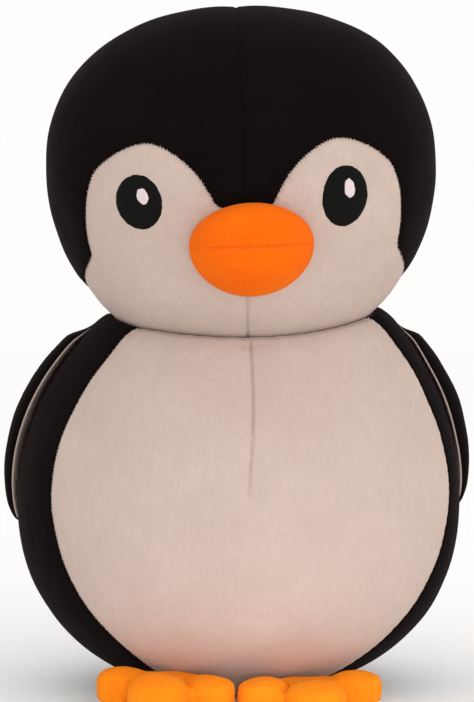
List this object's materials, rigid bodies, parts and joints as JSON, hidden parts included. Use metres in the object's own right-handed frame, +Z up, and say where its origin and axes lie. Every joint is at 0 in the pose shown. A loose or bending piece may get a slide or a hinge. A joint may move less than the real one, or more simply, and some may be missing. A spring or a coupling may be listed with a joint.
{
  "type": "plush penguin",
  "caption": "Round stuffed penguin toy with a black hood, white face and belly, a stitched orange beak, thin flippers and orange toed feet.",
  "frame": {"origin": "middle of the bounding box at the floor, under the belly", "axes": "+Z up, -Y the way the penguin faces, +X to the penguin's own left"},
  "size_m": [0.3133, 0.2796, 0.4501],
  "materials": {
    "black_plush": "short dense pile with a soft brown sheen",
    "white_plush": "short dense warm white pile",
    "orange_plush": "short dense orange pile",
    "stuffing": "loose polyester fibre",
    "eye_thread": "satin-stitched embroidery",
    "glint_thread": "satin-stitched embroidery",
    "sewing_thread": "matt polyester thread"
  },
  "bodies": {
    "head": {"hood_left": "black_plush", "hood_right": "black_plush", "face_left": "white_plush", "face_right": "white_plush", "head_filling": "stuffing", "eye_left": "eye_thread", "eye_right": "eye_thread", "eye_glint_left": "glint_thread", "eye_glint_right": "glint_thread", "beak_upper": "orange_plush", "beak_lower": "orange_plush", "beak_filling": "stuffing"},
    "body": {"belly_panel": "white_plush", "side_left": "black_plush", "side_right": "black_plush", "base_panel": "black_plush", "body_filling": "stuffing", "closing_stitches": "sewing_thread"},
    "wing_left": {"wing_left_outer": "black_plush", "wing_left_lining": "white_plush", "wing_left_filling": "stuffing"},
    "wing_right": {"wing_right_outer": "black_plush", "wing_right_lining": "white_plush", "wing_right_filling": "stuffing"},
    "foot_left": {"foot_left_top": "orange_plush", "foot_left_sole": "orange_plush", "foot_left_filling": "stuffing"},
    "foot_right": {"foot_right_top": "orange_plush", "foot_right_sole": "orange_plush", "foot_right_filling": "stuffing"}
  },
  "joints": [
    {"name": "head_nod", "type": "hinge", "parent": "body", "child": "head", "pos_m": [0.0007, -0.0023, 0.3444], "axis": [1, 0, 0], "range_deg": [-8, 8], "stiffness_Nm_per_rad": 1.5},
    {"name": "wing_left_lift", "type": "hinge", "parent": "body", "child": "wing_left", "pos_m": [0.1069, 0.0294, 0.2443], "axis": [0.1797, -0.9837, 0], "range_deg": [0, 75], "stiffness_Nm_per_rad": 0.02},
    {"name": "wing_right_lift", "type": "hinge", "parent": "body", "child": "wing_right", "pos_m": [-0.0973, 0.0294, 0.2443], "axis": [0.1797, 0.9837, 0], "range_deg": [0, 75], "stiffness_Nm_per_rad": 0.02},
    {"name": "foot_left_flop", "type": "hinge", "parent": "body", "child": "foot_left", "pos_m": [0.0321, -0.0559, 0.0129], "axis": [1, 0, 0], "range_deg": [0, 20], "stiffness_Nm_per_rad": 0.1},
    {"name": "foot_right_flop", "type": "hinge", "parent": "body", "child": "foot_right", "pos_m": [-0.0431, -0.0559, 0.0155], "axis": [1, 0, 0], "range_deg": [0, 20], "stiffness_Nm_per_rad": 0.1}
  ]
}
